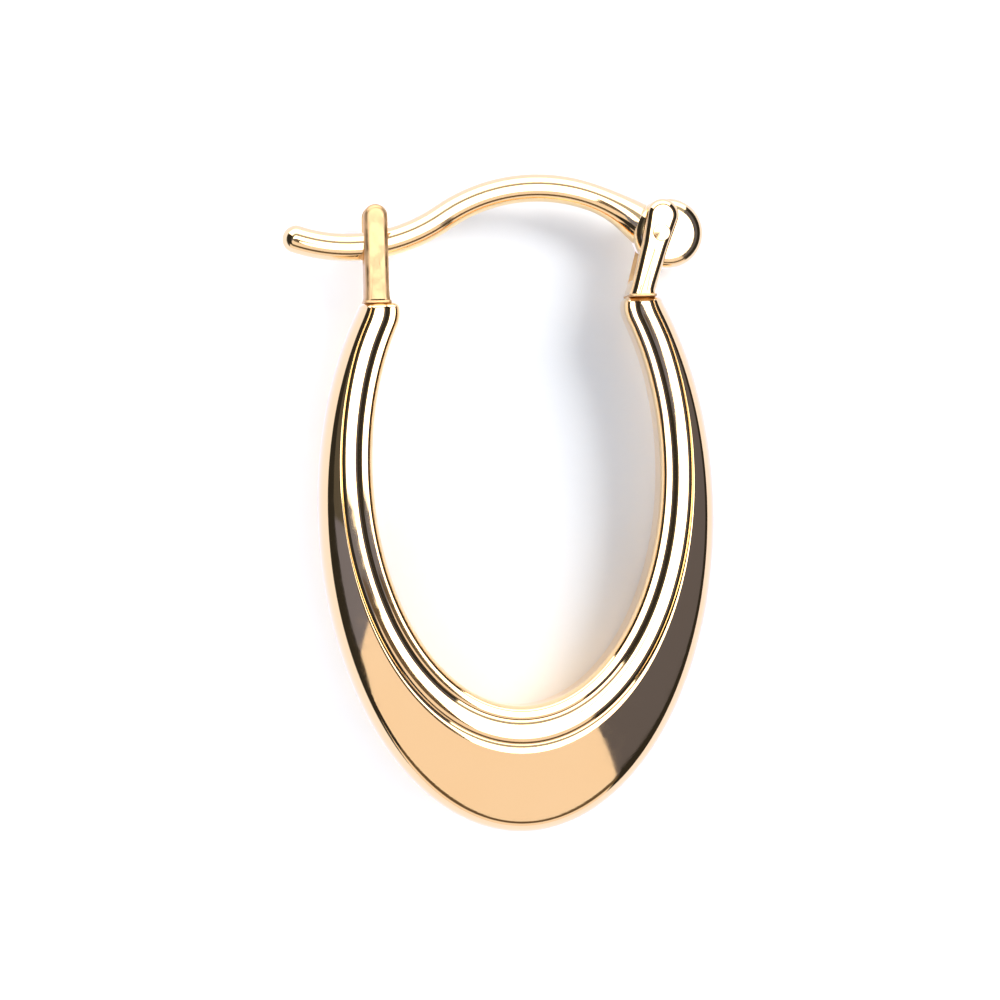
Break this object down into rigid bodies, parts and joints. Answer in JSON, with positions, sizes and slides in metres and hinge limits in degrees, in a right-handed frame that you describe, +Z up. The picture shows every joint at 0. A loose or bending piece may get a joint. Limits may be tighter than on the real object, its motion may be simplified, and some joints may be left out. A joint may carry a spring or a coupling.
{
  "type": "creole hoop earring",
  "caption": "Tapered oval creole hoop earring with a broad polished belly, ribs round its opening, and a pinned ear wire that closes into a forked catch.",
  "frame": {"origin": "on the surface that the earring lies on, under the middle of its outline seen from above", "axes": "+X across the hoop towards the hinge, +Y from the belly towards the ear wire, +Z up through the hoop's depth"},
  "size_m": [0.0128, 0.0198, 0.0027],
  "materials": {
    "stamped_gold": "mirror polished gold",
    "wire_gold": "drawn and polished gold wire",
    "pin_gold": "riveted and polished gold"
  },
  "bodies": {
    "hoop": {"hoop": "stamped_gold", "hinge_pin": "pin_gold"},
    "ear_wire": {"ear_wire": "wire_gold"}
  },
  "joints": [
    {"name": "wire_hinge", "type": "hinge", "parent": "hoop", "child": "ear_wire", "pos_m": [0.00493, 0.00797, 0.00135], "axis": [0, 0, -1], "range_deg": [0, 100]}
  ]
}
